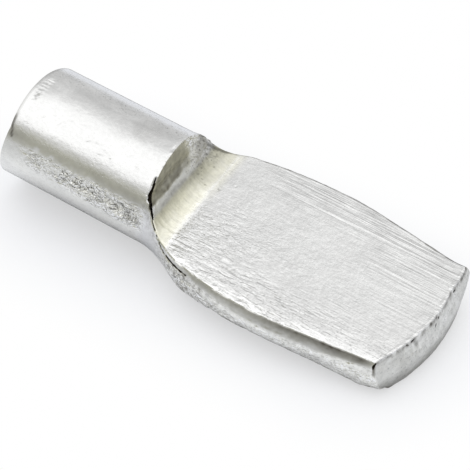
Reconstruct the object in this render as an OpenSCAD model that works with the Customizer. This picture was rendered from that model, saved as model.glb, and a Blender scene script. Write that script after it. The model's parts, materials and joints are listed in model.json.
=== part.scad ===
// Shelf support pin, cold formed in one piece from round steel wire and nickel plated.
// The round shank is pressed into a drilled hole; the shelf rests on the flat of the paddle.
//
// Origin: on the shank's axis, at the mouth of the hole it goes into.
// +X runs from the hole mouth to the tip of the paddle, +Z is up out of the flat.
// All sizes are millimetres.

/* [Shank] */
// Diameter of the wire, and of the hole it fits
shank_d = 5; // [3:0.05:10]
// Length of the shank from the hole mouth to the clean part of its cropped end
shank_len = 6.6; // [4:0.1:20]
// Depth to which the shear cut clean before the rest tore away
clean_cut = 1.1; // [0.2:0.05:2.4]
// Lean of the torn part of the end, in degrees
tear_slant = 12; // [0:0.5:20]

/* [Paddle] */
// Reach from the hole mouth to the middle of the tip
paddle_len = 12.65; // [10:0.05:30]
// Width of the flat where the paddle is widest
flat_w = 7.32; // [6.2:0.02:14]
// Distance of that widest place from the hole mouth
widest_at = 6.2; // [4.5:0.1:8.5]
// Width of the flat where it leaves the step
root_w = 6.12; // [4.6:0.02:7.3]
// Width of the flat at the corners of the tip
tip_w = 6.12; // [4:0.02:7.3]
// Radius of the bowed tip, seen from above
tip_r = 7.7; // [5:0.1:30]
// Height of the flat above the shank's axis
flat_h = 0.3; // [-0.5:0.05:1]
// Thickness of the paddle at its tip
tip_t = 2; // [1.4:0.05:2.8]

/* [Step] */
// Distance of the step's wall from the hole mouth
step_at = 0.3; // [0.1:0.05:2]
// Radius of the fillet between the wall and the flat
step_fillet = 1.3; // [0.3:0.05:2]
// How far the forming punch was turned about the vertical, in degrees
step_skew = 5.5; // [-8:0.5:8]

/* [Flow of the metal] */
// How far inside the hole mouth the round wire starts to spread
neck_lead = 0.5; // [0:0.05:1]
// Distance from the hole mouth at which it has spread to the width of the paddle
neck_len = 2.65; // [1.5:0.05:4]
// Length over which the underside rises from the wire to the paddle
belly_len = 8; // [4:0.1:10]
// How far the sides swell out beyond the edge of the flat
side_swell = 0.25; // [0.05:0.01:0.4]
// How far the end face swells out beyond the tip of the flat
nose_swell = 0.2; // [0.05:0.01:0.4]
// Depth below the flat at which the sides and the end stand proudest
swell_depth = 0.5; // [0.3:0.05:0.9]
// Sideways reach of the round under the sides, where the paddle is widest
under_round = 2.05; // [0.8:0.05:2.4]
// Sideways reach of that round near the tip
tip_round = 0.65; // [0.4:0.05:1.5]
// How much further that round reaches in at the corners of the tip
corner_round = 1; // [0.3:0.05:1.5]
// Reach of the round under the end face
nose_round = 0.3; // [0.2:0.05:1]

/* [Hidden] */

$fn = 96;
quarter_steps = 14;     // points on each quarter of a section
ring_gap = 0.32;        // spacing of the sections along the paddle
seat = 0.01;            // how far inside the skin of the shank the neck starts
over = 2;               // how far the cutting shapes run past what they cut

shank_r = shank_d / 2;
flat_half = flat_w / 2;
root_at = step_at + step_fillet;
corner_at = paddle_len - tip_r + sqrt(tip_r * tip_r - tip_w * tip_w / 4);
under_z = flat_h - tip_t;
side_z = flat_h - swell_depth;
// The sides are quarter rounds that would close over the top of the flat. The
// punch cuts them down to it where they have turned through `brow` degrees.
brow = 50;
crown_z = side_z + swell_depth / sin(brow);
crown_round = side_swell / (1 - cos(brow));

function clamp01(t) = min(max(t, 0), 1);
function ease(t) = let (u = clamp01(t)) u * u * (3 - 2 * u);
function mix(a, b, t) = a + (b - a) * t;

// The edge of the flat is an arc through the root, square to the length at the
// widest place, and a taper that leaves this arc for the corner of the tip.
edge_run = widest_at - root_at;
edge_drop = max((flat_w - root_w) / 2, 0.001);
edge_r = (edge_run * edge_run + edge_drop * edge_drop) / (2 * edge_drop);
edge_y = flat_half - edge_r;
corner_run = [corner_at - widest_at, tip_w / 2 - edge_y];
leave_a = atan2(corner_run[1], corner_run[0]) + acos(min(edge_r / norm(corner_run), 1));
leave = [widest_at + edge_r * cos(leave_a), edge_y + edge_r * sin(leave_a)];
function flat_edge(x) = x < leave[0]
    ? edge_y + sqrt(max(edge_r * edge_r - (x - widest_at) * (x - widest_at), 0))
    : leave[1] - (x - leave[0]) / tan(leave_a);

// The quarter rounds of a section, anticlockwise seen from the tip. `side` and
// `level` turn one quarter into the other three.
function quarter(side, level, half, reach, z_side, z_end) = [
    for (i = [0:quarter_steps])
        let (a = (side * level > 0 ? i : quarter_steps - i) * 90 / quarter_steps)
        [side * (half - reach + reach * cos(a)), z_side + (z_end - z_side) * sin(a)]
];

// One section of the blank: a circle in the shank, a slab with swollen sides in
// the paddle, and a blend of the two in the neck.
function section(x) =
    let (
        spread = ease((x + neck_lead) / (neck_lead + neck_len)),
        pressed = ease((x - step_at) / (neck_len - step_at)),
        start_r = shank_r - seat,
        half = mix(start_r, flat_edge(x) + side_swell, spread),
        z_side = mix(0, side_z, spread),
        top = mix(start_r, crown_z, pressed),
        bottom = mix(-start_r, under_z, ease(x / belly_len)),
        top_reach = mix(start_r, crown_round, pressed),
        late = ease((x - widest_at) / (corner_at - widest_at)),
        corner = ease((x - corner_at + corner_round) / (2 * corner_round)),
        low_round = mix(under_round, tip_round, late) + corner_round * corner,
        low_reach = mix(start_r, low_round, spread)
    )
    concat(
        quarter(1, 1, half, top_reach, z_side, top),
        quarter(-1, 1, half, top_reach, z_side, top),
        quarter(-1, -1, half, low_reach, z_side, bottom),
        quarter(1, -1, half, low_reach, z_side, bottom)
    );

// A section in its place. The skew of the punch drags the neck round with it and
// dies away towards the widest place.
function placed(x) =
    let (drag = tan(step_skew) * (1 - ease((x - root_at) / (widest_at - root_at))))
    [for (p = section(x)) [x - drag * p[0], p[0], p[1]]];

module skin(rings) {
    n = len(rings[0]);
    last = len(rings) - 1;
    walls = [
        for (k = [0:last - 1], i = [0:n - 1])
            let (a = k * n + i, b = k * n + (i + 1) % n)
            each [[a, b + n, b], [a, a + n, b + n]]
    ];
    polyhedron(
        points = [for (ring = rings) each ring],
        faces = concat(walls, [[for (i = [0:n - 1]) i]], [[for (i = [n - 1:-1:0]) last * n + i]])
    );
}

module blank() {
    reach = neck_lead + paddle_len + over;
    count = ceil(reach / ring_gap);
    sink = seat + shank_d * tan(abs(step_skew));
    skin(concat([placed(-neck_lead - sink)], [for (k = [0:count]) placed(reach * k / count - neck_lead)]));
}

// What the tip is trimmed to: a disc whose rim swells like the sides, and whose
// underside dishes down clear of the belly.
module tip_disc() {
    inner = tip_r + nose_swell - nose_round;
    translate([paddle_len - tip_r, 0, 0]) rotate_extrude() polygon(concat(
        [[0, shank_d], [tip_r, shank_d], [tip_r, flat_h], [tip_r + nose_swell, side_z]],
        [for (a = [10:10:90]) [inner + nose_round * cos(a), side_z + (under_z - side_z) * sin(a)]],
        [[0, -shank_d]]
    ));
}

// The wire, cropped by a shear: cut clean near the top, torn at a lean below.
module shank() {
    tear_z = shank_r - clean_cut;
    reach = tan(tear_slant) * (tear_z + shank_d);
    difference() {
        translate([-shank_len - reach - over, 0, 0]) rotate([0, 90, 0])
            cylinder(h = shank_len + reach + over - neck_lead, d = shank_d);
        translate([-shank_len, 0, 0]) rotate([90, 0, 0])
            linear_extrude(height = 2 * shank_d, center = true) polygon([
                [0, shank_d],
                [0, tear_z],
                [-reach, -shank_d],
                [-reach - 2 * over, -shank_d],
                [-reach - 2 * over, shank_d]
            ]);
    }
}

// Everything that the punch clears away: wall, fillet and flat in one profile.
module punch() {
    rotate([0, 0, step_skew]) translate([step_at, 0, flat_h]) rotate([90, 0, 0])
        linear_extrude(height = 3 * flat_w, center = true) difference() {
            square([paddle_len + 2 * over, shank_d + over]);
            difference() {
                square(step_fillet);
                translate([step_fillet, step_fillet]) circle(step_fillet);
            }
        }
}

module shelf_pin() {
    color([0.78, 0.78, 0.75]) difference() {
        union() {
            shank();
            intersection() {
                blank();
                tip_disc();
            }
        }
        punch();
    }
}

shelf_pin();
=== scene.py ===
# %% [markdown]
# # A shelf support pin, pressed from wire and nickel plated
#
# The pin is one piece of 5 mm steel wire. One end is left round and goes into a drilled
# hole. The other is pressed into a spoon-shaped paddle, on which the shelf rests. This
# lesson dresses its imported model: first the sizes and the camera, then the body, the marks
# that pressing, cropping and tumbling left, the plating and the light.

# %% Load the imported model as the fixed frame
import json
import math

import bpy
import numpy as np
from mathutils import Matrix, Vector, noise

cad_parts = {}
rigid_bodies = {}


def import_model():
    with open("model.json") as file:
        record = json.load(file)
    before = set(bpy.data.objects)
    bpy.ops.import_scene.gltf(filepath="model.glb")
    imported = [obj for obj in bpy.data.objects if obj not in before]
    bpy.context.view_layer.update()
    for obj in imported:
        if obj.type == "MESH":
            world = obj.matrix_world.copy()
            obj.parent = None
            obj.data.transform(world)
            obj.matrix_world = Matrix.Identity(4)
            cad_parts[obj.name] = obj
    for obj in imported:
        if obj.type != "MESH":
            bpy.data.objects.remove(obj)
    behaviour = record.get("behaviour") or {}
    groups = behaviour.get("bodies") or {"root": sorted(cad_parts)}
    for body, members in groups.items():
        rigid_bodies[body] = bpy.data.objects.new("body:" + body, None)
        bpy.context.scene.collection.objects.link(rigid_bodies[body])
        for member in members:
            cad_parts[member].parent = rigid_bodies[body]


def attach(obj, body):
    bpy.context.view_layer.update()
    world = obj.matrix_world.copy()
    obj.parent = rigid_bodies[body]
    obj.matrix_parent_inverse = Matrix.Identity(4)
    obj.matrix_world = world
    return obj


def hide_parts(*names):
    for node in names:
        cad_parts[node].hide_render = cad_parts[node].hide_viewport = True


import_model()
scene = bpy.context.scene
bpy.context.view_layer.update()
MM = 0.001

# %% [markdown]
# ## Sizes
#
# All is worked out in millimetres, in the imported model's frame: the origin is on the
# shank's axis at the mouth of the hole, +X runs to the paddle's tip and +Z is up out of
# the flat. The sizes are the model's own, with a few more for the worn near edge, and a
# shank 5 micrometres slimmer, to leave room for the relief on its skin.

# %% Sizes of the pin, in millimetres
SIZES = {
    "shank radius": 2.495,
    "shank length": 6.6,
    "paddle length": 12.65,
    "flat height": 0.3,
    "underside height": -1.7,
    "widest place": 6.2,
    "half width": 3.66,
    "taper start": 8.486,
    "taper slope": 0.1285,
    "wall place": 0.3,
    "fillet radius": 1.3,
    "neck lead": 0.5,
    "neck length": 2.65,
    "belly length": 8.0,
    "side swell": 0.25,
    "swell depth": 0.5,
    "near side swell": 0.21,
    "near swell depth": 0.75,
    "round under the side": 2.05,
    "round at the tip": 0.65,
    "round at the corner": 1.0,
    "tip radius": 7.7,
    "nose swell": 0.2,
    "nose round": 0.3,
    "near edge drop": 0.09,
}
ROOT_AT = SIZES["wall place"] + SIZES["fillet radius"]
ROOT_HALF = 3.06  # half width of the flat where it leaves the fillet
TIP_HALF = 3.06  # and at the corners of the tip
SKEW = math.radians(5.5)  # how far the punch was turned about the vertical
NEAR_ROLL = (1.2, 2.4)  # where the drop of the near edge starts and is full
EDGE = 0.9999  # a share above this counts as all the way to the edge
SKIN_NOTES = ("skin_ring", "skin_p", "skin_way", "skin_shrink")
TEAR_Z = 1.4  # the end is cut clean above this height, torn below it
TEAR_SLOPE = math.tan(math.radians(12))

edge_run = SIZES["widest place"] - ROOT_AT
edge_drop = SIZES["half width"] - ROOT_HALF
EDGE_RADIUS = (edge_run * edge_run + edge_drop * edge_drop) / (2 * edge_drop)
TIP_CENTRE = SIZES["paddle length"] - SIZES["tip radius"]
CORNER_AT = TIP_CENTRE + math.sqrt(SIZES["tip radius"] ** 2 - TIP_HALF ** 2)
print("corner of the tip at", round(CORNER_AT, 2), "mm; edge radius", round(EDGE_RADIUS, 2))

# %% [markdown]
# ## The camera
#
# A long lens from above shows the pin's top, its near side and the face of its tip. It
# looks down 46.6 degrees, is turned 35.9 degrees about the vertical and stands 100 mm
# off. A matrix leaves no doubt about the order of those angles.

# %% Camera
PICTURE = 470  # pixels along a side
FOCAL_PIXELS = 2507.65  # focal length, in those pixels
CAMERA_AT = Vector((43.888, -56.274, 72.595)) * MM
camera_data = bpy.data.cameras.new("camera")
camera_data.sensor_width = 36.0
camera_data.lens = FOCAL_PIXELS / PICTURE * camera_data.sensor_width
camera_data.clip_start = 0.005
camera_data.clip_end = 5.0
camera = bpy.data.objects.new("camera", camera_data)
turn = Matrix((
    (0.81036, -0.42536, 0.40297),
    (0.58593, 0.58828, -0.55733),
    (0.0, 0.68775, 0.72595),
))
camera.matrix_world = Matrix.Translation(CAMERA_AT) @ turn.to_4x4()
scene.collection.objects.link(camera)
scene.camera = camera
print("camera lens, mm:", round(camera_data.lens, 1))

# %% [markdown]
# ## Sums as nodes
#
# A rule such as `half - reach * (1 - cos(angle))` is easy to read as code, and hard as a
# dozen wired nodes. So one small class stands for the output of a node, and its operators
# add the Math nodes, for the shape and the finish alike.

# %% A node's output that can be used in sums
class Out:
    def __init__(self, tree, socket):
        self.tree, self.socket = tree, socket

    def sum(self, operation, *values):
        return self.tree.node("Math", {"operation": operation}, values)

    def other(self, number):
        """Another output of the same node."""
        return Out(self.tree, self.socket.node.outputs[number])

    def __neg__(self):
        return self.sum("MULTIPLY", self, -1.0)

    def __abs__(self):
        return self.sum("ABSOLUTE", self)


def add_operator(name, operation):
    setattr(Out, f"__{name}__", lambda a, b: a.sum(operation, a, b))
    setattr(Out, f"__r{name}__", lambda a, b: a.sum(operation, b, a))


for name, operation in (("add", "ADD"), ("sub", "SUBTRACT"), ("mul", "MULTIPLY"), ("truediv", "DIVIDE")):
    add_operator(name, operation)


# %% A tree that makes and links its nodes
class Tree:
    def __init__(self, tree):
        self.tree = tree

    def node(self, kind, settings=None, inputs=(), out=0):
        """One node, a shader node unless it says otherwise: its settings, then its inputs."""
        made = self.tree.nodes.new(kind if kind.startswith("Geometry") else "ShaderNode" + kind)
        for name, value in (settings or {}).items():
            setattr(made, name, value)
        pairs = inputs.items() if isinstance(inputs, dict) else enumerate(inputs)
        for name, value in pairs:
            if isinstance(value, Out):
                self.tree.links.new(value.socket, made.inputs[name])
            elif value is not None:
                made.inputs[name].default_value = value
        return Out(self, made.outputs[out]) if made.outputs else made


def ease(value, start, end):
    """Rises smoothly from 0 at start to 1 at end."""
    return value.tree.node("MapRange", {"interpolation_type": "SMOOTHSTEP"},
                           [value, start, end, 0.0, 1.0])


def clamped(value, low=0.0, high=1.0):
    return value.tree.node("Clamp", None, [value, low, high])


def mixed(a, b, share):
    return a + (b - a) * share


def by(operation):
    """One operation of the Math node, as a function."""
    return lambda value, *others: value.sum(operation, value, *others)


sin, cos, arcsin, more, less, below = map(by, (
    "SINE", "COSINE", "ARCSINE", "GREATER_THAN", "LESS_THAN", "MINIMUM"))


def above(value, floor=0.0):
    return value.sum("MAXIMUM", value, floor)


def root(value):
    return value.sum("SQRT", above(value))


def tinted(tree, share, first, second):
    """One colour turning into another."""
    return tree.node("Mix", {"data_type": "RGBA"}, {0: share, 6: first, 7: second}, out=2)


print("node maths ready")

# %% [markdown]
# ## The body's rule
#
# The press squeezes a round wire, so every section is four quarter rounds: a circle in the
# shank, a slab with swollen sides in the paddle, and a blend of the two in the neck. The
# punch then clears a wall, a fillet and the flat.
#
# A boolean of those shapes would give long thin triangles that take no dents. So the body
# starts as a finely divided box, and the rule sends each of its points to a place on the
# pin. The box's top edges land on the edges of the flat, so these stay crisp. The faces
# are about 0.1 mm wide and shaded flat.

# %% The section of the wire at one station
BROW_FAR = math.radians(50)  # how far round the side the punch cuts it off
BROW_NEAR = math.radians(36)
NEAR_INSET = 0.062  # the near edge is worn in by this much


def section(size, x, near):
    """Half width, height of the widest place, and the rises and reaches of its rounds."""
    def each_side(far_value, near_value):
        return mixed(far_value, near_value, near)

    r = size["shank radius"]
    spread = ease(x, -size["neck lead"], size["neck length"])
    pressed = ease(x, size["wall place"], size["neck length"])
    on_arc = below(x, size["taper start"]) - size["widest place"]
    edge = (size["half width"] - EDGE_RADIUS + root(EDGE_RADIUS ** 2 - on_arc * on_arc)
            - above(x - size["taper start"]) * size["taper slope"])
    swell = each_side(size["side swell"], size["near side swell"])
    depth = each_side(size["swell depth"], size["near swell depth"])
    half = mixed(r, edge + swell - near * NEAR_INSET, spread)
    side_z = size["flat height"] - depth
    middle = side_z * spread
    crown = (depth - near * size["near edge drop"]) * each_side(
        1 / math.sin(BROW_FAR), 1 / math.sin(BROW_NEAR))
    reach = swell * each_side(1 / (1 - math.cos(BROW_FAR)), 1 / (1 - math.cos(BROW_NEAR)))
    top_rise = mixed(r, side_z + crown, pressed) - middle
    top_reach = mixed(r, reach, pressed)
    low_drop = middle - mixed(-r, size["underside height"], ease(x, 0.0, size["belly length"]))
    late = ease(x, size["widest place"], CORNER_AT)
    corner_round = size["round at the corner"]
    corner = ease(x, CORNER_AT - corner_round, CORNER_AT + corner_round)
    low_round = mixed(size["round under the side"], size["round at the tip"], late)
    low_reach = mixed(r, low_round + corner * corner_round, spread)
    return half, middle, top_rise, top_reach, low_drop, low_reach


# %% Where the punch cuts off the side of a section
CREST_Z = 0.98  # height at which the wall's edge turns into the side's edge


def fillet_height(size, place):
    """Height of the punched surface at a distance along it."""
    back = above(size["wall place"] + size["fillet radius"] - place)
    radius = size["fillet radius"]
    return size["flat height"] + radius - root(radius * radius - back * back)


def crest(size, x, near, parts, crest_x):
    """Sine of the angle at which the side ends, and the half width there."""
    half, middle, top_rise, top_reach = parts[:4]
    cut = fillet_height(size, x * math.cos(SKEW)) - near * size["near edge drop"] * ease(x, *NEAR_ROLL)
    pressed_sine = (cut - middle) / top_rise
    on_paddle = more(x, crest_x)
    shank_sine = CREST_SINE[0] + (CREST_SINE[1] - CREST_SINE[0]) * near
    sine = clamped(mixed(shank_sine, pressed_sine, on_paddle), 0.0, 0.98)
    return sine, half - top_reach * (1.0 - root(1.0 - sine * sine))


print("rule ready")

# %% The tree that moves each point of the box to its place
RINGS = {"shank": 92, "step": 52, "paddle": 186}
ACROSS, UPRIGHT = 110, 26
UNDER_START, UNDER_END = -0.9, 2.9  # stations under the neck that face wall and fillet
SIDE_SHARE = 0.36  # share of the way from crest to keel on the box's side
crest_angle = math.asin(1 - (CREST_Z - SIZES["flat height"]) / SIZES["fillet radius"])
CREST_X = (ROOT_AT - SIZES["fillet radius"] * math.cos(crest_angle)) / math.cos(SKEW)
CREST_SINE = (0.408, 0.42)  # sine of the crest's angle on the shank: far, near
ROOT_X = ROOT_AT / math.cos(SKEW)
ROLL_WIDTH = 0.42  # width of the rolled strip along the near edge


def build_rule(t, size):
    rings = sum(RINGS.values())
    grid = (rings + 1, ACROSS + 1, UPRIGHT + 1)
    box = t.node("GeometryNodeMeshCube", None, [(2.0, 2.0, 2.0), *grid])
    place = t.node("GeometryNodeInputPosition")
    a = t.node("SeparateXYZ", None, [place])
    p, q = a.other(1), a.other(2)
    shrink = above(above(abs(p), abs(q)), 0.0001)
    p, q = clamped(p / shrink, -1.0, 1.0), clamped(q / shrink, -1.0, 1.0)
    on_top = more(q, EDGE)
    near = less(p, 0.0)

    # How far along the shank, the step and the paddle the point lies.
    ring = (a + 1.0) * (rings / 2)
    on_shank = clamped(ring / RINGS["shank"])
    on_step = clamped((ring - RINGS["shank"]) / RINGS["step"])
    on_paddle = clamped((ring - RINGS["shank"] - RINGS["step"]) / RINGS["paddle"])
    length = size["shank length"]

    # The line along the side: up to the crest, down beside the fillet, along the flat.
    fillet = size["fillet radius"]
    wall = size["wall place"]
    angle = mixed(crest_angle, math.pi / 2, on_step)
    beside = (wall + fillet * (1.0 - cos(angle))) / math.cos(SKEW)
    edge_x = ((CREST_X + length) * on_shank - length + (beside - CREST_X)
              + (CORNER_AT - ROOT_X) * on_paddle)
    edge_half = crest(size, edge_x, near, section(size, edge_x, near), CREST_X)[1]
    brink_at = below(edge_x, CREST_X)
    brink_half = crest(size, brink_at, near, section(size, brink_at, near), CREST_X)[1]

    # Station at which this point's own section is taken.
    way = mixed(SIDE_SHARE + (1 - SIDE_SHARE) * (1.0 - abs(p)), SIDE_SHARE * (1.0 - q) / 2.0,
                more(abs(p), EDGE))
    under_x = ((UNDER_START + length) * on_shank - length + (UNDER_END - UNDER_START) * on_step
               + (CORNER_AT - UNDER_END) * on_paddle)
    side_x = mixed(edge_x, under_x, ease(way, 0.0, 0.8))
    tail = above(abs(p) - 0.75) / 0.25
    brink_x = (wall + (CREST_X * math.cos(SKEW) - wall) * tail * tail) / math.cos(SKEW)
    top_x = (brink_x + length) * on_shank - length
    x = mixed(side_x, top_x, on_top)
    half, middle, top_rise, top_reach, low_drop, low_reach = parts = section(size, x, near)
    sine = crest(size, x, near, parts, CREST_X - 0.001)[0]

    # The side and the underside: round the crown, round the low quarter, then flat.
    crown_angle = arcsin(sine)
    crown_run = crown_angle * (top_reach + top_rise) / 2.0
    low_run = root((low_reach * low_reach + low_drop * low_drop) / 2.0) * (math.pi / 2)
    travelled = way * (crown_run + low_run + half - low_reach)
    upper = crown_angle * clamped(1.0 - travelled / crown_run)
    lower = clamped((travelled - crown_run) / low_run) * (math.pi / 2)
    side_y = (half - top_reach * (1.0 - cos(upper)) - low_reach * (1.0 - cos(lower))
              - above(travelled - crown_run - low_run)) * p.sum("SIGN", p)
    side_z = middle + top_rise * sin(upper) - low_drop * sin(lower)

    # The top: over the round of the shank, down the wall and the fillet, along the flat.
    open_angle = math.pi / 2 - math.asin(CREST_SINE[0])
    arc = sin(p * open_angle) / math.sin(open_angle)
    top_y = mixed(arc, p, ease(on_step, 0.0, 1.0)) * edge_half
    over = above(abs(arc * brink_half) - half + top_reach) / top_reach
    brink = middle + top_rise * root(1.0 - over * over)
    flat = size["flat height"]
    brink_sine = clamped(1.0 - (brink - flat) / fillet)
    drop = fillet * (math.pi / 2 - arcsin(brink_sine)) + above(brink - flat - fillet)
    drop = drop * (1.0 - on_step)
    bend = math.pi / 2 - below(drop / fillet, math.pi / 2)
    rolled = clamped((abs(top_y) - edge_half + ROLL_WIDTH) / ROLL_WIDTH)
    top_z = (flat + fillet * (1.0 - sin(bend)) + above(drop - fillet * (math.pi / 2))
             - near * size["near edge drop"] * ease(edge_x, *NEAR_ROLL) * rolled * rolled)
    along = (wall + fillet * (1.0 - cos(bend))) / math.cos(SKEW)
    top_x = (along + length) * on_shank - length + (CORNER_AT - ROOT_X) * on_paddle

    # Ends: the rings shrink to the middle of the end face and take its shape.
    heart = on_paddle * -0.7  # height of the middle of the face
    y = mixed(side_y, top_y, on_top) * shrink
    z = mixed(heart, mixed(side_z, top_z, on_top), shrink)
    swollen_z = flat - size["swell depth"]
    below_swell = clamped((swollen_z - z) / (swollen_z - size["underside height"]))
    short = 0.1 + 0.1 * ease(y, 0.3, 2.9)  # how far short the flat stops
    tip = size["tip radius"] - short + (size["nose swell"] + short) * clamped((flat - z) / 0.95)
    tip = tip - size["nose round"] * (1.0 - root(1.0 - below_swell * below_swell))
    bow = TIP_CENTRE + root(tip * tip - y * y) - CORNER_AT
    torn = above(TEAR_Z - z) * TEAR_SLOPE * (1.0 - ease(on_shank, 0.0, 0.6))
    x = mixed(side_x, top_x, on_top)
    drag = math.tan(SKEW) * ease(x, -5.0, -0.6) * (1.0 - ease(x, ROOT_AT, size["widest place"]))
    x = x - drag * y - torn + bow * ease(on_paddle, 0.3, 1.0)

    # Each point keeps notes of its place on the box, for the marks to come.
    noted = box
    for name, field in zip(SKIN_NOTES, (ring, p, mixed(way, -1.0, on_top), shrink)):
        noted = t.node("GeometryNodeStoreNamedAttribute", {"data_type": "FLOAT", "domain": "POINT"},
                       {"Geometry": noted, "Name": name, "Value": field})
    points = t.node("CombineXYZ", None, [x * MM, y * MM, z * MM])
    return t.node("GeometryNodeSetPosition", None, {"Geometry": noted, "Position": points})


# %% Make the body with the modifier, then keep it as a plain mesh
plate = bpy.data.materials.new("nickel plate")
plate.use_nodes = True
group = bpy.data.node_groups.new("pressed_pin", "GeometryNodeTree")
group.interface.new_socket("Geometry", in_out="OUTPUT", socket_type="NodeSocketGeometry")
sockets = {size: group.interface.new_socket(size, in_out="INPUT", socket_type="NodeSocketFloat")
           for size in SIZES}
source = group.nodes.new("NodeGroupInput")
t = Tree(group)
made = build_rule(t, {size: Out(t, source.outputs[size]) for size in SIZES})
made = t.node("GeometryNodeSetMaterial", None, {"Geometry": made, "Material": plate})
group.links.new(made.socket, group.nodes.new("NodeGroupOutput").inputs[0])

maker = bpy.data.objects.new("pin_maker", bpy.data.meshes.new("empty"))
scene.collection.objects.link(maker)
modifier = maker.modifiers.new("pressed_pin", "NODES")
modifier.node_group = group
for size, value in SIZES.items():
    modifier[sockets[size].identifier] = value
ready = maker.evaluated_get(bpy.context.evaluated_depsgraph_get())
mesh = bpy.data.meshes.new_from_object(ready)
mesh.name = "pressed_pin"
bpy.data.objects.remove(maker)
pin = bpy.data.objects.new("pressed_pin", mesh)
scene.collection.objects.link(pin)
print("body:", len(mesh.vertices), "points,", len(mesh.polygons), "faces")

# %% [markdown]
# ## The marks of making and use
#
# A clean rule looks like plastic. This pin was cropped from wire, pressed in a worn die
# and tumbled, so its skin has ripples, scrapes, a fold under the wall and a ragged burr
# round the flat. Bump in the finish would vanish at the outline, so they are pushed into
# the points, along the skin's own direction.

# %% Read the body's points into arrays
count = len(mesh.vertices)


def read(data, key, width=1):
    """The values of one layer of the mesh, a row to each point."""
    values = np.empty(count * width, np.float32)
    data.foreach_get(key, values)
    return values.reshape(-1, width).astype(float).squeeze()


points = read(mesh.vertices, "co", 3) / MM
normals = read(mesh.vertex_normals, "vector", 3)
ring, across, way, shrink = (read(mesh.attributes[name].data, "value") for name in SKIN_NOTES)
print("points read:", count)

# %% Helpers for masks and noise
def rise(value, start, end):
    """The same smooth rise as in the nodes, for arrays."""
    share = np.clip((value - start) / (end - start), 0, 1)
    return share * share * (3 - 2 * share)


def fall(value, start, end):
    return 1 - rise(value, start, end)


def band(value, start, full, fading, end):
    """Rises between the first two places and falls between the last two."""
    return rise(value, start, full) * fall(value, fading, end)


def hump(value, middle, width):
    return np.exp(-((value - middle) / width) ** 2)


def waves(scale, shift, octaves=2, where=None, sway=0.0):
    """Smooth noise from about -1 to 1, stretched differently along X, Y and Z."""
    out = np.zeros(count)
    chosen = np.arange(count) if where is None else np.nonzero(where)[0]
    moved = (points + sway)[chosen] * scale + np.array((shift, -0.7 * shift, 0.3 * shift))
    out[chosen] = [noise.fractal(p, 1.0, 2.0, octaves) for p in moved.tolist()]
    return out


def ridged(field, smooth, sharp, middle=0.3):
    """Noise with sharp ridges where it passes through zero."""
    return smooth * field + sharp * (middle - np.abs(field))


def outside(*line):
    """Distance from a line of (x, y, z, half width) places, less its half width there."""
    least = np.full(count, 9.0)
    for start, end in zip(np.array(line[:-1]), np.array(line[1:])):
        step = end - start
        share = np.clip((points - start[:3]) @ step[:3] / (step[:3] @ step[:3]), 0, 1)
        foot = start + share[:, None] * step
        least = np.minimum(least, np.linalg.norm(points - foot[:, :3], axis=1) - foot[:, 3])
    return least


print("mask helpers ready")

# %% Which part of the skin each point belongs to
STEP_RING = RINGS["shank"]  # ring at the top of the wall
ROOT_RING = STEP_RING + RINGS["step"]  # ring where the fillet meets the flat
TIP_RING = ROOT_RING + RINGS["paddle"]  # ring round the tip
px, py, pz = points.T
near = py < 0
on_top = way < 0
skin = shrink > EDGE  # all but the two end faces
is_crest = on_top & (np.abs(across) > EDGE)
lap = np.degrees(np.arctan2(pz, -py))  # degrees up from the near side, round the shank
step_share = np.clip((ring - STEP_RING) / RINGS["step"], 0, 1)
from_crest = np.where(on_top, 9.0, way * 5.1)  # millimetres down the side from the crest
from_crest[is_crest] = 0
shank = rise(-px, -0.6, 0.2) * skin
flat = on_top * rise(ring, ROOT_RING - 2, ROOT_RING + 3)
fillet = on_top * (step_share > 0) * fall(ring, ROOT_RING - 3, ROOT_RING + 1)
side = (~on_top) * skin * rise(px, 0.5, 2.5)
end_face = (shrink < EDGE) * 1.0
tip_face = end_face * (px > 5)
print("flat points:", int(flat.sum()), "fillet points:", int(fillet.sum()))

# %% [markdown]
# The ripples on the flat are scratches in the die, copied by the metal as it crept
# sideways under it. They are long and fine near the tip and along the far edge, and short
# and crinkled near the root and the near edge. Each kind is a noise stretched along X,
# bent a little and faded in where it belongs. Bright metal shows the least slope, so a
# few micrometres are enough.

# %% Ripples of the flat and the fillet
push = np.zeros(count)  # millimetres outwards
on_flat = on_top & (ring > ROOT_RING - 4)
bend = waves((0.9, 0.8, 0.0), 2.2, 1, on_flat)
sway = np.stack([0.3 * bend, 0.16 * bend, 0 * bend], axis=1)
long_lines = waves((0.24, 6.6, 0.0), 3.1, 2, on_flat)
crinkle = waves((1.1, 6.0, 0.0), 7.7, 2, on_flat, sway)
wrinkle = waves((2.2, 4.8, 0.0), 8.9, 2, on_flat, 2.0 * sway)
mottle = waves((2.6, 3.2, 0.0), 12.3, 2, on_flat)
furrows = waves((0.55, 5.6, 0.0), 9.4, 1, on_flat)

near_root = rise(-py, -1.6, 1.2) * fall(px, 3.0, 7.5) * 0.7
near_rim = rise(-py, 1.2, 2.8) * rise(px, 1.6, 3.0)
far_rim = rise(py, 1.6, 3.1) * rise(px, 2.5, 4.5)
tip_lines = rise(px, 8.0, 10.8)
combed = rise(waves((0.3, 1.1, 0.0), 14.4, 2, on_flat), -0.3, 0.35)
lined = np.clip(tip_lines * (0.25 + 0.75 * combed) + far_rim, 0, 1)
drawn = rise(-py + 0.25 * bend, 1.3, 1.9) * fall(px + 0.5 * bend, 2.6, 3.6) * fall(-py, 2.7, 2.95)
crinkled = np.clip(near_rim * (1 - 0.6 * tip_lines) + 0.35 * near_root, 0, 1)
wrinkled = (near_root * (1 - 0.6 * near_rim)
            * (1 - 0.6 * hump(ring, ROOT_RING, 14) * rise(py, -2.0, -1.2)))

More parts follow.
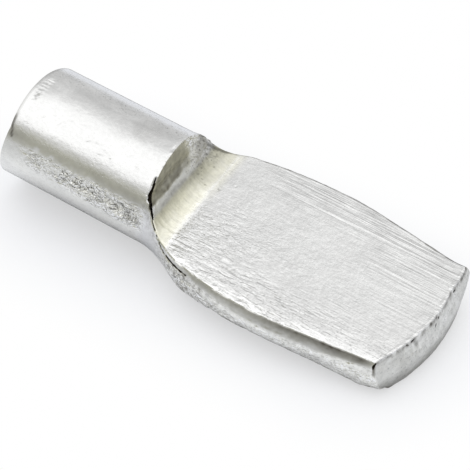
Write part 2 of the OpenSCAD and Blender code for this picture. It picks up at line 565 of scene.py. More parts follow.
push += flat * long_lines * (0.001 + 0.009 * lined + 0.012 * far_rim)
push += flat * ridged(crinkle, 0.7, 0.8) * (0.0015 + 0.02 * crinkled)
push += flat * ridged(wrinkle, 0.8, 0.6) * 0.026 * wrinkled
push += flat * mottle * (0.004 + 0.007 * wrinkled)
push += flat * drawn * furrows * 0.027

on_fillet = on_top & (step_share > 0) & (ring < ROOT_RING + 8)
combing = waves((0.7, 4.6, 0.7), 21.0, 3, on_fillet)
patch = rise(waves((0.5, 1.3, 0.5), 24.0, 2, on_fillet), -0.3, 0.4)
push += fillet * combing * (0.002 + 0.007 * patch) * rise(step_share, 0.15, 0.6)
ragged = waves((2.0, 4.0, 0.0), 31.0, 2, on_fillet)
teeth = waves((0.0, 5.5, 0.0), 26.0, 3, on_fillet)
creep = on_fillet * hump(ring, ROOT_RING - 0.5, 3.6) * (0.035 + 0.045 * teeth)  # along X
print("ripples, micrometres:", round(float(np.abs(push).max() * 1000), 1))

# %% [markdown]
# Under the wall the punch dragged the metal into a low fold, which shows as a pale streak
# between the dark wall and the fillet. At its near end the wall tore away from the shank:
# a black crack follows the edge of the wall and runs out as a crease beside the fillet.
# Cutting the skin open would leave loose edges, so the crack is pressed in along a line
# of places and its deep shade is painted black in the plating. At the wall's far end the metal slumped.

# %% Fold under the wall, and the crack at its near end
wall_height = pz + 0.06 * np.sin(py * 2.1)
fold = on_top * (step_share > 0.02) * rise(1.95 - np.abs(py + 0.1), 0.0, 0.35)
jagged = waves((6.0, 6.0, 6.0), 33.0, 2, on_top | near)
push += fold * hump(wall_height, 0.9, 0.15) * (0.026 + 0.008 * ragged)
push -= fold * hump(wall_height, 1.36, 0.22) * 0.05
push += fold * hump(wall_height, 1.0, 0.07) * 0.016 * rise(jagged, -0.3, 0.4)

crack = outside(
    (0.37, -1.42, 2.07, 0.02), (0.38, -1.51, 2.01, 0.035), (0.46, -1.75, 1.8, 0.06),
    (0.47, -1.87, 1.68, 0.085), (0.48, -1.97, 1.53, 0.115), (0.5, -2.02, 1.36, 0.11),
    (0.57, -2.11, 1.13, 0.075), (0.69, -2.2, 0.94, 0.06), (0.84, -2.33, 0.75, 0.045))
crease = outside(
    (0.85, -2.32, 0.75, 0.02), (0.97, -2.44, 0.63, 0.02), (1.12, -2.54, 0.52, 0.025),
    (1.35, -2.72, 0.3, 0.03), (1.6, -2.86, 0.11, 0.03), (1.83, -2.97, -0.03, 0.03),
    (2.12, -3.1, -0.04, 0.045), (2.4, -3.21, -0.04, 0.045), (2.85, -3.35, -0.06, 0.035),
    (3.27, -3.45, -0.06, 0.01))
crack -= 0.03 * jagged
crease -= 0.035 * jagged
crack_depth = 0.1 * fall(crack, -0.05, 0.04)
inwards = np.array((-0.25, 0.75, -0.6))  # the way that the crack is pressed in
push -= 0.045 * fall(crease, -0.03, 0.05)

beside_neck = near * band(ring, STEP_RING + 16, ROOT_RING - 12, ROOT_RING + 14, ROOT_RING + 34)
push += beside_neck * 0.02 * hump(from_crest, 0.07, 0.06)
slump = (on_top * (ring > STEP_RING + 0.5) * rise(py + 0.08 * ragged, 0.75, 1.1)
         * hump(pz, 1.45, 0.5) * fall(across, 0.7, 0.92))
lumps = waves((3.0, 4.0, 4.0), 35.0, 3, on_top)
push += slump * (0.05 + 0.08 * lumps) + slump * 0.16 * hump(pz, 1.15, 0.35)
push += fillet * rise(py, 0.3, 1.0) * rise(pz, 0.45, 0.7) * 0.022 * lumps
print("crack points:", int((crack_depth > 0.05).sum()))

# %% [markdown]
# No cut edge is clean. The wall's rim is torn, the near edge of the flat nibbled, the tip
# carries a burr and the shank's end a row of short ticks. One noise serves them all,
# faded out a ring or two from each edge.

# %% Ragged edges: wall, near edge, tip and the shear's rim
edge_noise = waves((3.5, 3.5, 2.0), 41.0, 3, on_top)
wall_rim = on_top * hump(ring, STEP_RING, 1.2) * rise(across, -0.45, -0.2)
near_crest = on_top * (ring > ROOT_RING) * rise(-across, 0.955, 0.995)
tip_burr = on_top * rise(ring, TIP_RING - 3.2, TIP_RING - 0.2)
rim_place = hump(px, -6.2, 0.14) * band(lap, 64, 70, 94, 100)
push += wall_rim * (0.004 + 0.042 * edge_noise)
push += near_crest * 0.014 * edge_noise
push += tip_burr * (0.016 + 0.03 * edge_noise)
push += on_top * rim_place * np.sin(py * 36.0 + 2.5 * edge_noise) * 0.022

# %% [markdown]
# Dents are round or long hollows with a low rim pushed up round them. They are scattered
# in a band along the near side of the shank and on the sides of the paddle. A fixed seed
# puts them in the same places each time. The boldest are listed one by one.

# %% A dent
chance = np.random.default_rng(7)
SCUFF_DENTS, SIDE_DENTS = 240, 150
marked = np.zeros(count)  # how dirty the placed marks are


def dent(centre, length, width, depth, tilt=0.0, rim=0.5, dirty=0.0):
    """Hollow round a point of the skin, long in the direction of X turned by tilt."""
    offset = points - np.array(centre)
    reach = max(length, width) * 3
    close = np.nonzero((np.abs(offset) < reach).all(axis=1))[0]
    if len(close) == 0:
        return
    near_by = offset[close]
    round_way = np.linalg.norm(near_by[:, 1:], axis=1) * np.sign(near_by[:, 2] + 0.3 * near_by[:, 1])
    u = near_by[:, 0] * math.cos(tilt) + round_way * math.sin(tilt)
    v = round_way * math.cos(tilt) - near_by[:, 0] * math.sin(tilt)
    away = (u / length) ** 2 + (v / width) ** 2
    push[close] -= depth * (1 - rim * away) * np.exp(-away)
    marked[close] = np.maximum(marked[close], dirty * np.exp(-away))


def on_shank(x, degrees):
    r = SIZES["shank radius"]
    return (x, -r * math.cos(math.radians(degrees)), r * math.sin(math.radians(degrees)))


# %% The rubbed band on the shank: crumpled all over, with dents pressed into it
band_foot = 4.0 - 8.0 * rise(px, -4.8, -0.8)  # degrees up the side at which the band starts
rubbed = (rise(-px, -0.7, 0.1) * rise(px, -6.3, -4.6)
          * rise(lap, band_foot - 4, band_foot + 5) * fall(lap, 17, 26) * skin)
patchy = rise(waves((1.1, 2.4, 2.4), 81.0, 2, rubbed > 0.01), -0.5, 0.1)
crumple = waves((3.4, 6.5, 6.5), 83.0, 2, rubbed > 0.01)
scuffed = rubbed * (0.35 + 0.65 * patchy)
push += scuffed * ridged(crumple, 0.02, 0.085, middle=0.25)
for _ in range(SCUFF_DENTS):
    x = -5.8 + 6.1 * chance.random() ** 0.8
    degrees = chance.normal(11.5, 5.0)
    size = 0.045 + 0.1 * chance.random() ** 2
    length = size * (1.0 + 1.8 * chance.random())
    depth = size * (0.16 + 0.18 * chance.random())
    dent(on_shank(x, degrees), length, size, depth, chance.normal(-0.1, 0.5))
for x, degrees, length, width, depth, tilt in (
        (-3.6, 17, 0.42, 0.06, 0.045, -0.25), (-2.9, 12, 0.55, 0.07, 0.05, -0.2),
        (-2.2, 11, 0.5, 0.08, 0.05, 0.1), (-4.9, 13, 0.2, 0.12, 0.035, 0.3),
        (-1.5, 13, 0.3, 0.12, 0.05, 0.4), (-0.9, 11, 0.24, 0.16, 0.06, 0.0),
        (-0.35, 9, 0.34, 0.16, 0.07, 0.35), (0.15, 20, 0.12, 0.1, 0.05, 0.0),
        (-0.1, 15, 0.16, 0.08, 0.05, -0.5)):
    dent(on_shank(x, degrees), length, width, depth, tilt)
for x, degrees, length, tilt in (  # scratches higher up
        (-3.05, 56, 0.2, 0.5), (-2.65, 58, 0.26, 0.2), (-2.2, 55, 0.22, -0.3), (-1.85, 51, 0.16, -0.9),
        (-2.3, 50, 0.2, 0.1), (-5.0, 63, 0.1, 0.2), (-4.6, 58, 0.12, 1.1), (-4.2, 66, 0.1, 0.4),
        (-1.1, 62, 0.14, 0.8), (-3.6, 68, 0.16, 0.2), (-0.6, 55, 0.1, -0.4), (-5.4, 57, 0.12, 0.7)):
    dent(on_shank(x, degrees), length, 0.035, 0.012, tilt, dirty=0.3)

# %% Dents on the sides of the paddle, and a few pits on its top
flank = side * (pz < SIZES["flat height"] - 0.45)
push += flank * ridged(waves((1.6, 2.6, 2.6), 91.0, 2, flank > 0.01), 0.02, 0.045)
for _ in range(SIDE_DENTS):
    x = 2.6 + 9.2 * chance.random()
    z = -0.35 - 1.1 * chance.random()
    hand = -1 if chance.random() < 0.6 else 1
    size = 0.05 + 0.13 * chance.random() ** 2
    y = hand * (3.75 - 0.03 * (x - 6.2) ** 2)
    dent((x, y, z), size * 1.5, size, size * 0.14, chance.normal(0.0, 0.4))
for x, y, z, size, depth in (
        (3.45, -3.6, -0.2, 0.17, 0.06), (3.8, -3.68, -0.6, 0.14, 0.05), (5.5, -3.87, -0.2, 0.13, 0.04),
        (3.1, -3.5, -0.4, 0.12, 0.04), (4.6, -3.8, -0.5, 0.12, 0.03)):
    dent((x, y, z), size * 1.3, size, depth)
for x, y, size, depth in (
        (1.75, 0.9, 0.07, 0.03), (2.2, 1.45, 0.06, 0.02), (4.5, 1.6, 0.05, 0.012),
        (3.9, -0.6, 0.06, 0.012), (12.5, -1.57, 0.09, 0.05), (12.55, -1.29, 0.06, 0.05),
        (12.7, 0.1, 0.11, 0.1), (12.2, 2.65, 0.07, 0.06)):
    dent((x, y, SIZES["flat height"]), size, size, depth)

# %% [markdown]
# Tumbling leaves the skin a little uneven. The end of the shank was sheared, clean at the
# top and torn below. The tip's low near corner was knocked round, and its far one stands
# out as a lump. Both are moved in one direction: along the skin's own they would notch.

# %% Tumbled skin, the torn end and the tip's corners
skin_noise = waves((1.4, 1.4, 1.4), 51.0, 3)
fine_noise = waves((5.0, 5.0, 5.0), 61.0, 2)
push += (shank * 0.004 + side * 0.012 + 0.0015) * skin_noise
push += (side * 0.004 + shank * 0.001) * fine_noise
tear = end_face * (px < 0) * rise(TEAR_Z - pz, -0.1, 0.5)
push += tear * (0.03 * waves((3.0, 3.0, 3.0), 71.0, 3, px < -5))
push += tip_face * 0.014 * waves((2.0, 2.2, 2.2), 73.0, 2, px > 11)
push += 0.03 * side * near * hump(px, 12.0, 0.7) * rise(-pz, 0.3, 1.0)
to_low_corner = np.linalg.norm(points - np.array((12.12, -2.78, -1.62)), axis=1)
knock = 0.11 * hump(to_low_corner, 0.0, 0.5)
far_corner = rise(px, 10.9, 11.75) * rise(py, 1.5, 3.0) * rise(pz, -0.85, -0.05)
lump = np.stack([0.28 * far_corner - 0.45 * knock,
                 0.07 * far_corner * rise(px, 11.3, 11.9) + 0.45 * knock,
                 0.77 * knock], axis=1)
points += normals * push[:, None] + inwards * crack_depth[:, None] + lump
points[:, 0] += creep
mesh.vertices.foreach_set("co", (points * MM).astype(np.float32).ravel())
mesh.update()
print("pushed, mm: from", round(float(push.min()), 3), "to", round(float(push.max()), 3))

# %% [markdown]
# ## Notes for the finish
#
# The plating isn't equally clean or bright all over. A painted picture would need the
# skin unwrapped, and its grain would show close up. So each point carries numbers from 0
# to 1, made from the relief's own masks, which the material reads by name.

# %% Places that several notes share
def note(name, values):
    """Leave a number from 0 to 1 at each point."""
    values = np.clip(values, 0, 1).astype(np.float32)
    mesh.attributes.new(name, "FLOAT", "POINT").data.foreach_set("value", values)


near = py < 0  # again: the points have moved
near_side = side * near
hollow = np.clip(-push / 0.045, 0, 1)
blotched = rise(fine_noise, -0.15, 0.45)
tiny = rise(waves((9.0, 9.0, 9.0), 63.0, 2), 0.15, 0.4)
wall = on_top * (ring > STEP_RING + 0.5) * rise(pz + 0.03 * ragged, 1.0, 1.1)
far_part = rise(py + 0.1 * ragged + 0.25 * rise(pz, 1.6, 2.1), 0.78, 0.98)  # of the wall
streak = fold * hump(wall_height, 0.95, 0.15)
foot = hump(ring + 1.6 * teeth, ROOT_RING - 1.5, 2.6) * on_top * (0.7 + 0.5 * patch)
corner = (shrink > 0.999) * (ring > TIP_RING - 1.5) * rise(-py, 2.9, 3.1)
neck_far = rise(py, 1.2, 2.0) * band(px, -0.4, 0.1, 0.6, 1.0) * on_top
low_fillet = fillet * (pz < 0.78)
beside = (shank + side > 0) * near

# A dark band under the near edge: partly dark scale of the shear strip, partly painted shade.
dark_band_width = 0.08 + 0.18 * band(px, 3.5, 7.0, 9.5, 12.0)  # under the near edge
under_edge = (~on_top) * near * band(px, 1.9, 2.7, 11.4, 12.2) * (from_crest > 0.05)
under_edge *= fall(from_crest + 0.05 * skin_noise + 0.04 * jagged - dark_band_width, 0.12, 0.36)

# %% Dark: scale left by pressing, dirt in the cuts, and painted shade on skin turned away and along the outlines
nicked = 0.5 * rise(edge_noise, -0.25, 0.1)  # along the top edge of the tip
for y, width, strength in (
        (-3.2, 0.07, 1.0), (-2.95, 0.09, 0.8), (-1.57, 0.09, 0.7), (-1.17, 0.13, 0.8), (-0.12, 0.09, 1.0),
        (0.29, 0.09, 0.9), (1.6, 0.12, 0.8), (2.57, 0.16, 0.8), (2.9, 0.1, 0.7), (3.15, 0.14, 1.0)):
    nicked = np.maximum(nicked, strength * hump(py, y, width))
nicked = nicked * hump(pz, 0.22, 0.1) * (ring > TIP_RING - 0.5) * (px > 11)

spots = np.minimum.reduce([np.linalg.norm(points - place[:3], axis=1) - place[3] for place in np.array((
    (0.42, 1.83, 0.81, 0.05), (0.38, 2.16, 0.8, 0.05), (0.9, 1.73, 0.42, 0.03), (1.17, 0.74, 0.35, 0.03),
    (0.93, 0.86, 0.45, 0.03), (0.71, 0.89, 0.58, 0.04), (1.71, 0.92, 0.3, 0.04), (0.2, 1.93, 1.45, 0.06),
    (0.29, 2.22, 1.04, 0.05), (0.32, 2.45, 0.82, 0.06), (0.3, 2.33, 0.93, 0.04), (0.52, 1.45, 0.75, 0.04),
    (0.66, 1.22, 0.62, 0.03)))])
far_line = outside(
    (0.22, 1.84, 1.46, 0.04), (0.33, 2.03, 1.24, 0.07), (0.33, 2.29, 0.84, 0.05), (0.46, 2.46, 0.62, 0.07),
    (0.62, 2.6, 0.49, 0.07), (0.81, 2.76, 0.38, 0.07), (1.15, 2.93, 0.24, 0.04)) - 0.03 * edge_noise
# Painted shade that deepens the shank's reflected olive band, most at its two ends.
painted_shank_band = (0.14 * hump(lap, 29.5, 6.5) * (1 + 0.5 * skin_noise + 0.3 * fine_noise)
              * (1 + 0.6 * np.abs(px + 3.8) / 3.8)
              + 0.22 * hump(lap, 22, 9) * rise(px, -1.3, 0.1) + 0.16 * hump(lap, 31, 7) * rise(-px, 5.4, 6.8))
smudge = rise(1.0 - np.hypot(px + 1.2, (py - 0.1) * 1.4) + 0.3 * skin_noise, 0.0, 0.8)
# Painted shadow: a dark line along the rim of the shank's end, where the clean cut steps to the torn part.
painted_shadow_line = skin * hump(ring, np.maximum(39 - lap, 0) * 0.2 + 0.4, 1.0) * band(lap, 24, 27, 44, 54)

dark_places = {
    # The wall: brown scale, with painted shade that deepens toward its foot.
    "wall": wall * (0.36 + 0.3 * rise(1.55 - pz, 0.0, 0.4) + 0.12 * ragged + 0.26 * lumps)
        * (1 - 0.4 * rise(py, 0.0, 0.7)) * (1 - far_part),
    "wall's edge": 0.5 * hump(ring, STEP_RING + 0.4, 0.9) * on_top * tiny,
    "foot of the fold": 0.25 * fold * hump(wall_height, 0.77, 0.14) * (1 + jagged),
    "slump": 0.35 * slump * tiny,
    "spots": 0.55 * fall(spots, -0.03, 0.04),
    "far edge of the neck": 0.6 * fall(far_line, -0.02, 0.05),
    "far side of the neck": 0.3 * neck_far * tiny,
    "beside the crack": 0.3 * beside * hump(np.minimum(crack, crease), 0.16, 0.13) * (pz < 1.4)
        * (0.7 + jagged),
    "near side of the step": 0.3 * beside * hump(px, 0.7, 1.0) * hump(from_crest, 0.2, 0.6)
        * (ring > STEP_RING) * (0.7 + jagged),
    "near side of the neck": 0.6 * near_side * hump(px, 3.0, 1.7) * rise(from_crest, 0.15, 0.4)
        * (0.16 + rise(fine_noise, 0.05, 0.35)),
    "scale and painted shade under the near edge": under_edge * (1.25 - 1.6 * from_crest)
        * (0.32 + 0.44 * rise(px, 4.5, 10.0) + 0.15 * skin_noise + 0.1 * jagged),
    # Painted shade: dark outlines along the far edge and the far side, on skin that faces down, and on the
    # back and belly of the shank.
    "far edge": is_crest * (across > 0) * (ring > STEP_RING) * (0.65 + 0.5 * edge_noise),
    "far side": 0.6 * side * (py > 0) * rise(0.8 - normals[:, 2], 0.0, 0.07) * (pz > -1.2),
    "painted shade on skin that faces down": 0.85 * rise(-normals[:, 2], 0.38, 0.68) * skin,
    "painted shade on the back of the shank": 0.7 * rise(lap, 130, 137) * (1 - 0.5 * rise(lap, 146, 176)) * shank,
    "painted shade under the belly of the shank": 0.85 * rise(-lap, 29, 37) * (1 - 0.6 * rise(-lap, 45, 110)) * shank,
    "painted dark band along the shank": shank * painted_shank_band,
    "smudge on the shank": 0.16 * shank * smudge * on_top,
    # Painted shadow along the rim of the shank's end.
    "painted shadow on the rim of the shank's end": skin * fall(ring, 0.4, 1.6) * rise(lap, 26, 40) * 0.35,
    "slit in that rim": 0.95 * painted_shadow_line,
    "tip's corner": 0.75 * corner * rise(pz, -0.5, -0.2) * (pz < 0.1),
    "tip's edge": nicked,
    "foot of the tip": 0.42 * tip_face * rise(-pz, 0.6, 1.5),
}
note("dark", np.maximum.reduce(list(dark_places.values())))

# %% Gap: painted black shade, in the crack, the crease and the nicks of the tip's edge
nicks = np.minimum.reduce([outside(*line) for line in (
    ((11.98, -3.0, 0.2, 0.03), (11.92, -3.1, 0.06, 0.05), (11.93, -3.12, -0.25, 0.03),
     (11.93, -3.12, -0.4, 0.01)),
    ((12.4, -1.62, 0.2, 0.03), (12.44, -1.5, 0.18, 0.05)),
    ((12.47, -1.3, 0.22, 0.05), (12.5, -1.16, 0.22, 0.03)),
    ((12.6, 0.5, 0.24, 0.02), (12.64, 0.38, 0.12, 0.055)),
    ((12.67, 0.16, -0.02, 0.05), (12.68, 0.1, -0.08, 0.04)),
    ((11.86, 3.2, 0.24, 0.03), (11.9, 3.16, 0.1, 0.04)),
    ((12.04, 2.96, 0.2, 0.04), (12.12, 2.8, 0.12, 0.03)),
    ((12.28, 2.15, 0.22, 0.03), (12.36, 1.84, 0.16, 0.04)),
    ((12.42, 1.5, 0.22, 0.02), (12.43, 1.42, 0.2, 0.02)))])
note("gap", np.minimum(np.minimum(crack, crease), nicks - 0.015 * edge_noise) / 0.3 + 0.5)

# %% Tint, dirt and bloom
stained = 0.6 * on_top * (ring >= ROOT_RING) * fall(ring, ROOT_RING, ROOT_RING + 8) * rise(py, -0.2, 1.0)
# On the shank's lower band the warm tint is a painted reflection tint.
note("warm", fillet * (1 - rise(pz, 0.66, 0.8) * (1 - wall * (1 - 0.9 * far_part))) * (1 - 0.4 * foot)
     + stained + 0.4 * side + 0.3 * tip_face + 0.32 * shank * band(lap, -36, -26, 30, 40))
note("dirt", marked + hollow * (0.35 * scuffed + 0.5 * side + tip_face + tip_burr) + 0.35 * tear
     + 0.3 * blotched * (side * (pz < -0.1) + tip_face)
     + 0.35 * low_fillet * rise(py, 0.2, 1.0) * (0.5 + 0.5 * blotched))
note("grey", 0.85 * shank * band(lap, 66, 82, 112, 122)
     + flat * (0.44 + 0.14 * rise(px, 5.0, 8.5) + 0.4 * far_rim)
     + 0.75 * low_fillet * rise(py, 0.1, 1.1)
     + 0.15 * shank * rise(-lap, -20, -10) * rise(lap, -8, -2) * rise(px, -5.5, -3.0))

# %% Where the skin was rubbed bright or carries painted highlights, left matt, pitted or scuffed
pitted = fillet * rise(py, 0.2, 0.8) * rise(2.4 - py, 0.0, 0.5) * rise(pz, 0.4, 0.6)
# Rubbed bright metal, and painted highlights: the fold's pale streak, the wall's far part, the fillet's foot
# line, the tip's burr line, the near crest, the lower shank and the near side.
note("burnished", 0.9 * wall * far_part + 0.9 * streak * (1 + 0.4 * jagged) + slump + foot
     + 0.55 * shank * band(lap, -27, -16, 0, 8)
     + corner * (pz < -0.5) + 0.8 * on_top * rise(ring, TIP_RING - 2.5, TIP_RING - 0.6)
     + 0.5 * near_crest + 0.8 * beside_neck * hump(from_crest, 0.05, 0.06)
     + flat * (0.15 * near_root + 0.22 * near_rim)
     + 0.9 * near_side * (1 - under_edge) * fall(from_crest, 1.0, 1.6))
note("specked", 0.65 * shank * rise(lap, 92, 112) * (1 - 0.85 * rise(lap, 136, 155))
     + shank * (0.4 * rise(20 - lap, 0, 8) * scuffed + 0.22 * fall(lap, 0, 12))
     + 0.55 * near_side * (1 - under_edge) + 0.5 * tip_face + 0.5 * near_rim * flat
     + 0.35 * pitted + 0.12 * fillet * patch + 0.4 * slump + 0.4 * neck_far + 0.3 * streak)
note("matt", 1.3 * slump + 0.5 * neck_far + 0.8 * fold * hump(wall_height, 0.92, 0.2))
note("scuffed", 1.15 * scuffed + 0.35 * side * (pz < -0.35)
     + 0.75 * near_side * hump(px, 3.2, 1.7) * rise(from_crest, 0.25, 0.5) * (0.6 + 0.6 * skin_noise))
for name, values in (("lined", flat * (lined + 0.8 * drawn)), ("crinkled", flat * crinkled),
                     ("wrinkled", flat * wrinkled), ("flat", flat), ("end", end_face)):
    note(name, values)
for name in SKIN_NOTES:
    mesh.attributes.remove(mesh.attributes[name])
print("notes and layers:", mesh.attributes.keys())

# %% [markdown]
# ## The plating
#
# Bright nickel over steel, tumbled dull. It is one metal all over, so the finish changes
# only its tone, its roughness and the relief that is too fine for the mesh: grain and
# hair lines, grey bloom, a cream tint on the fillet, dark scale, dirt in the hollows, and
# painted shade, highlights and glints.

# %% Nickel plate
NICKEL = (0.8, 0.795, 0.78, 1)
CREAM = (0.8, 0.78, 0.65, 1)
# Brown of the scale, also used for painted shade.
SCALE_AND_SHADE_BROWN = (0.055, 0.044, 0.029, 1)


def plate_finish(material):
    t = Tree(material.node_tree)
    shader = material.node_tree.nodes["Principled BSDF"]
    place = t.node("TexCoord", out="Object")

    def texture(per_mm, detail=2.0, rough=0.5, warp=0.0):
        """Noise with so many waves to a millimetre along X, Y and Z, from about -1 to 1."""
        scale = tuple(n / MM for n in per_mm)
        where = t.node("VectorMath", {"operation": "MULTIPLY"}, [place, scale], out="Vector")
        return t.node("TexNoise", None, {"Vector": where, "Scale": 1.0, "Detail": detail, "Roughness": rough,
                                         "Distortion": warp}) * 4.0 - 2.0

    (warm, dark, dirt, grey, burnished, specked, matt, gap, scuffed, lined, crinkled, wrinkled, flat,
     end) = (t.node("Attribute", {"attribute_name": name}, out="Fac") for name in (
         "warm dark dirt grey burnished specked matt gap scuffed lined crinkled wrinkled flat end").split())

    # The finest relief, in millimetres.
    grain = texture((9.0, 9.0, 9.0), 3.0, 0.6)
    hairs = texture((0.35, 11.0, 0.0), 2.0, 0.6)
    creases = texture((1.5, 8.5, 0.0), 2.0, 0.55, 0.5)
    wrinkles = texture((3.6, 7.0, 0.0), 2.0, 0.55, 1.0)
    pits = texture((6.0, 6.0, 6.0))
    crumbs = texture((7.0, 11.0, 11.0), 3.0, 0.55, 0.5)
    loops = clamped(1.0 - 6.0 * abs(texture((2.0, 3.8, 3.8), 2.0, 0.5, 1.2)))
    relief = (grain * (0.0016 + 0.0012 * scuffed + 0.0008 * flat)
              + hairs * flat * (0.0009 + 0.01 * lined) + hairs * above(warm - 0.4) * 0.004
              + (0.6 * creases - abs(creases)) * flat * (0.0018 + 0.016 * crinkled)
              + (0.5 * wrinkles - abs(wrinkles)) * wrinkled * 0.022
              + crumbs * scuffed * 0.013 - loops * scuffed * 0.018
              - above(pits - 0.55) * (0.006 + 0.03 * scuffed))
    bump = t.node("Bump", None, {"Strength": 1.0, "Distance": 1.0, "Height": relief * MM})

    # Tone: clouds, specks, the grain's own shade, bloom, dirt, dark flecks, painted highlights, and painted
    # glints in the scuffs.
    cloud = texture((0.9, 1.3, 1.3), 4.0, 0.6)
    bloom = texture((0.7, 1.6, 1.6), 5.0, 0.65, 0.4)
    speck = texture((4.0, 7.0, 7.0), 3.0, 0.6)
    flecks = clamped(above(texture((10.0, 13.0, 13.0)) - 0.35) * 2.2)
    painted_glints = clamped(abs(texture((5.0, 13.0, 13.0), 3.0, 0.6, 0.8)) * 1.9)
    tone = (1.0 + 0.035 * cloud + 0.045 * speck * (1.0 + 1.7 * warm)
            + 0.06 * grain * (0.6 + scuffed + 0.8 * flat)
            + 0.21 * hairs * lined + 0.13 * creases * crinkled + 0.1 * wrinkles * wrinkled)
    tone = tone * (1.0 - 0.13 * grey * clamped(bloom * 1.15 + 1.0, 0.0, 3.0))
    tone = tone * (1.0 - 0.2 * end * clamped(cloud * 0.8 + 0.5))
    # The burnished note lightens the tone: rubbed metal, and painted highlights.
    tone = tone * (1.0 - 0.5 * dirt * clamped(speck * 0.6 + 0.7)) * (1.0 + 0.16 * burnished)
    tone = tone * (1.0 - 0.65 * specked * flecks)
    # Painted glints: the scuffs' tone swings bright and dark to stand in for sparkle.
    tone = tone * (1.0 + scuffed * (painted_glints - 0.22)) * (1.0 - 0.8 * scuffed * loops)

    # Colour: nickel, warmed to cream, covered with scale and painted shade, and painted black shade in the
    # gaps.
    # torn here is the painted black shade of the crack, the crease and the nicks.
    torn = 1.0 - ease(gap, 0.46, 0.54)
    colour = tinted(t, clamped(warm * (0.8 + 0.25 * cloud)), NICKEL, CREAM)
    colour = tinted(t, clamped(dark * (0.95 + 0.12 * speck) + 1.5 * torn), colour, SCALE_AND_SHADE_BROWN)
    colour = t.node("VectorMath", {"operation": "SCALE"},
                    {0: colour, "Scale": tone * (1.0 - 0.8 * torn)}, out="Vector")
    rough = (0.215 + 0.03 * cloud + 0.1 * warm + 0.3 * dark + 0.12 * end + 0.12 * dirt
             + 0.3 * matt - 0.09 * burnished)
    for name, value in (("Base Color", colour), ("Roughness", clamped(rough, 0.12, 0.85)),
                        ("Normal", bump)):
        material.node_tree.links.new(value.socket, shader.inputs[name])
    shader.inputs["Metallic"].default_value = 1.0


plate_finish(plate)
print("plating ready")

# %% [markdown]
# ## Floor and light
#
# The pin lies on white paper, on the belly of the neck and the underside of the tip, so in
# its own frame the paper leans a few degrees. Near the pin the camera sees its soft
# shadow, and farther off plain white.

# %% Paper floor, leaning as the pin rests on it
FLOOR_HALF = 400.0
BELLY = (0.4, -2.505)  # x and z of the two places it rests on
TOE = (12.4, -1.705)
PIN_MIDDLE, PIN_HALF = 2.7, 7.0  # of the shadowed paper, along X
PAPER_GLOW = 0.51  # share of plain white in the paper beside the pin
PAPER = ((0.3, (0.915, 0.93, 0.985, 1)), (0.7, (0.93, 0.945, 1.0, 1)))  # by its grain
PAPER_PAINTED_SHADE = (0.2, 0.2, 0.17, 1)


def paper_finish():
    paper = bpy.data.materials.new("white paper")
    paper.use_nodes = True
    paper.node_tree.nodes.clear()
    t = Tree(paper.node_tree)
    place = t.node("TexCoord", out="Object")
    grain = t.node("TexNoise", None, {"Vector": place, "Scale": 900.0, "Detail": 3.0})
    shade = t.node("ValToRGB", None, [grain])
    for element, (at, colour) in zip(shade.socket.node.color_ramp.elements, PAPER):
        element.position, element.color = at, colour
    spread = t.node("SeparateXYZ", None, [place])
    endways = spread * (1 / MM) - PIN_MIDDLE
    sideways = spread.other(1) * (1 / MM)
    past_end = above(abs(endways) - PIN_HALF)
    away = root(sideways * sideways + past_end * past_end)
    # Painted shade: the paper ahead of the pin's near side is darker, seen only in the pin's reflections, as
    # the camera sees plain white there.
    painted_shade_ahead = ease(sideways * -0.88 - endways * 0.47, 7.0, 17.0)
    shade = tinted(t, painted_shade_ahead * 0.25, shade, PAPER_PAINTED_SHADE)
    matt = t.node("BsdfDiffuse", None, {"Color": shade})
    lit = t.node("Emission", None, {"Color": (1, 1, 1, 1)})
    seen = t.node("LightPath", out="Is Camera Ray")
    glow = seen * mixed(PAPER_GLOW, 1.0, ease(away, 2.4, 7.4))
    both = t.node("MixShader", None, [glow, matt, lit])
    t.node("OutputMaterial", None, {"Surface": both})
    return paper


lean = math.atan2(TOE[1] - BELLY[1], TOE[0] - BELLY[0])
floor_mesh = bpy.data.meshes.new("paper_floor")
floor_mesh.from_pydata(
    [((BELLY[0] + i * math.cos(lean)) * MM, j * MM, (BELLY[1] + i * math.sin(lean)) * MM)
     for i, j in ((-FLOOR_HALF, -FLOOR_HALF), (FLOOR_HALF, -FLOOR_HALF),
                  (FLOOR_HALF, FLOOR_HALF), (-FLOOR_HALF, FLOOR_HALF))], [], [(0, 1, 2, 3)])
floor_mesh.materials.append(paper_finish())
floor = bpy.data.objects.new("paper_floor", floor_mesh)
scene.collection.objects.link(floor)
print("floor leans", round(math.degrees(lean), 2), "degrees")

# %% [markdown]
# Metal shows what stands round it, so the light is a tent drawn in the world. It is
# brighter overhead, with a soft panel high behind the shank and a smaller one high on the
# far side. It is dimmer low down beyond the tip, and dimmest round the horizon on the
# near side, which gives the shank its olive band, deepened there by painted shade.

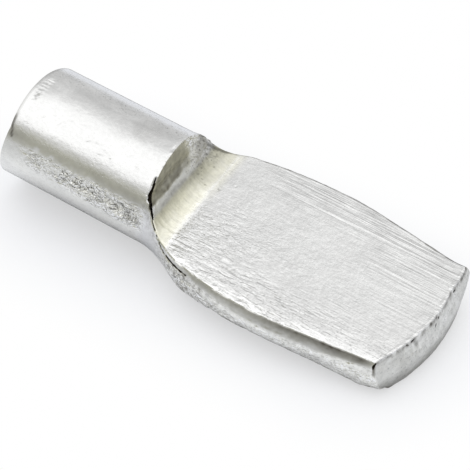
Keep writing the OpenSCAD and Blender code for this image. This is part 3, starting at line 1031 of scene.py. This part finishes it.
# %% The tent of light
COOL_WHITE = (0.992, 1.0, 1.01, 1)
OLIVE = (1.0, 1.0, 0.82, 1)


def direction(azimuth, elevation):
    a, e = math.radians(azimuth), math.radians(elevation)
    return (math.cos(a) * math.cos(e), math.sin(a) * math.cos(e), math.sin(e))


world = bpy.data.worlds.new("light tent")
world.use_nodes = True
world.node_tree.nodes.clear()
scene.world = world
t = Tree(world.node_tree)
ray = t.node("TexCoord", out="Generated")


def facing(azimuth, elevation):
    """Cosine of the angle between the ray and a direction."""
    return t.node("VectorMath", {"operation": "DOT_PRODUCT"},
                  [ray, direction(azimuth, elevation)], out="Value")


def within(azimuth, elevation, outer, inner):
    """1 inside a round patch of the tent, 0 outside it."""
    return ease(facing(azimuth, elevation), math.cos(math.radians(outer)), math.cos(math.radians(inner)))


up = facing(0, 90)
height = arcsin(clamped(up, -1.0, 1.0)) * (180 / math.pi)  # degrees
near_side = ease(facing(-118, 0), 0.1, 0.75)
tip_side = ease(facing(30, 0), 0.2, 0.85)
horizon = 1.0 - ease(abs(height - 0.5), 7.0, 28.0)
level = mixed(0.76, 0.93, ease(height, 30.0, 50.0)) + 0.2 * ease(height, 62.0, 80.0)
level = level - tip_side * 0.32 * (1.0 - ease(height, 15.0, 50.0))
level = level - near_side * horizon * 0.36
level = mixed(level, 1.28, within(-151, 57, 37, 30))
level = mixed(level, 1.24, within(98, 60, 22, 13))
tint = clamped(near_side * horizon + tip_side * 0.5 * (1.0 - ease(height, 34.0, 64.0)))
lit = t.node("Background", None, {"Color": tinted(t, tint, COOL_WHITE, OLIVE), "Strength": level})
white = t.node("Background", None, {"Color": (1, 1, 1, 1)})
seen = t.node("LightPath", out="Is Camera Ray")
t.node("OutputWorld", None, {"Surface": t.node("MixShader", None, [seen, lit, white])})
scene.view_settings.view_transform = "Standard"
print("light tent ready")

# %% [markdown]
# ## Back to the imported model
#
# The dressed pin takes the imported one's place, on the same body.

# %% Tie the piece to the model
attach(pin, "root")
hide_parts("shelf_pin")
